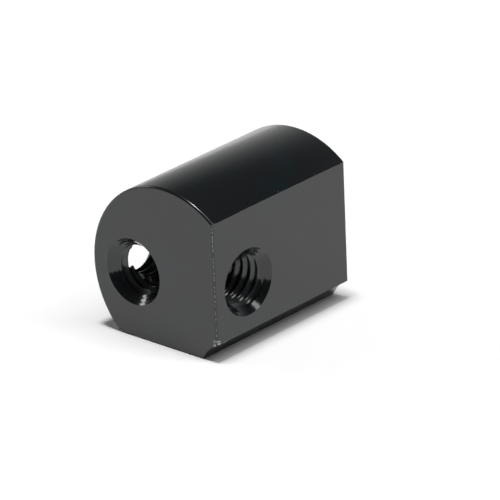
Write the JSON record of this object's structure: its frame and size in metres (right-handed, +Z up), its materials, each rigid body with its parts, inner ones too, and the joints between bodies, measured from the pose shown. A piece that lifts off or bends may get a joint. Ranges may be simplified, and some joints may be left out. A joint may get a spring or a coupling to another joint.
{
  "type": "machined mounting block",
  "caption": "Short round-bar mounting block with side and base flats, a hollow relief between them, and tapped holes along and across the bar.",
  "frame": {"origin": "middle of the base flat's plane: halfway along the bar, and halfway between the round side and the side flat", "axes": "+X out of the side flat, +Y along the bar away from the end with the nearer cross hole, +Z up from the base flat"},
  "size_m": [0.0082, 0.01, 0.0086],
  "materials": {
    "anodised_aluminium": "satin black anodising, worn to bright metal along the front corner"
  },
  "bodies": {
    "root": {"mounting_block": "anodised_aluminium"}
  },
  "joints": []
}
